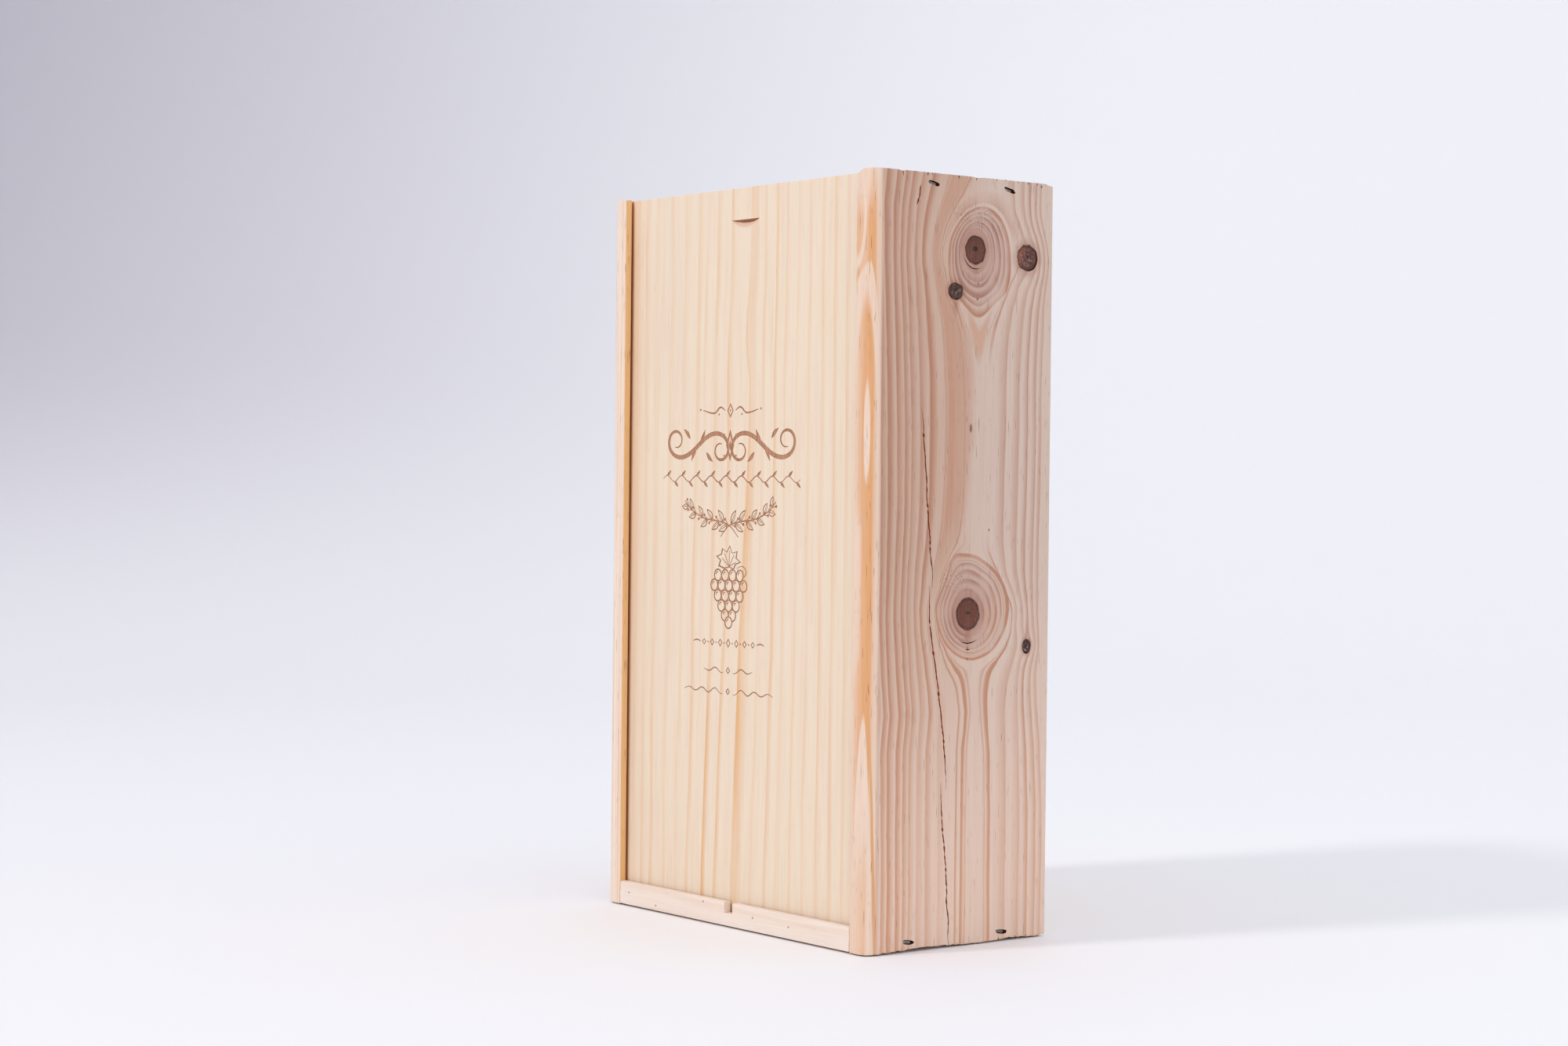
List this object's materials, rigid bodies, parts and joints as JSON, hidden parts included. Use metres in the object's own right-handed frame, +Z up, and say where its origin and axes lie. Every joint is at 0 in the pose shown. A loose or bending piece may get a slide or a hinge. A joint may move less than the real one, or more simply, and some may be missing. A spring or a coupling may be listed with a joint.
{
  "type": "wooden wine box",
  "caption": "Upright wooden gift box for bottles, with a sliding lid in grooved sides, a divider and a stapled back panel.",
  "frame": {"origin": "bottom centre of the box, on the outer face of the closed end that it stands on", "axes": "+X to the right along the lid's face, +Y from the lid to the back, +Z up, the way the lid slides open"},
  "size_m": [0.204, 0.1084, 0.3507],
  "materials": {
    "board_pine": "planed, untreated",
    "end_pine": "planed, untreated",
    "panel_pine": "planed, untreated",
    "lid_pine": "sanded, untreated",
    "staple_wire": "dull"
  },
  "bodies": {
    "box": {"left_side_board": "board_pine", "right_side_board": "board_pine", "closed_end_board": "end_pine", "open_end_board": "end_pine", "back_panel": "panel_pine", "divider": "panel_pine", "left_top_staples": "staple_wire", "left_bottom_staples": "staple_wire", "right_top_staples": "staple_wire", "right_bottom_staples": "staple_wire", "back_left_staples": "staple_wire", "back_right_staples": "staple_wire", "back_top_staples": "staple_wire", "back_bottom_staples": "staple_wire"},
    "lid": {"sliding_lid": "lid_pine"}
  },
  "joints": [
    {"name": "lid_slide", "type": "slide", "parent": "box", "child": "lid", "axis": [0, 0, 1], "range_m": [0, 0.36]}
  ]
}
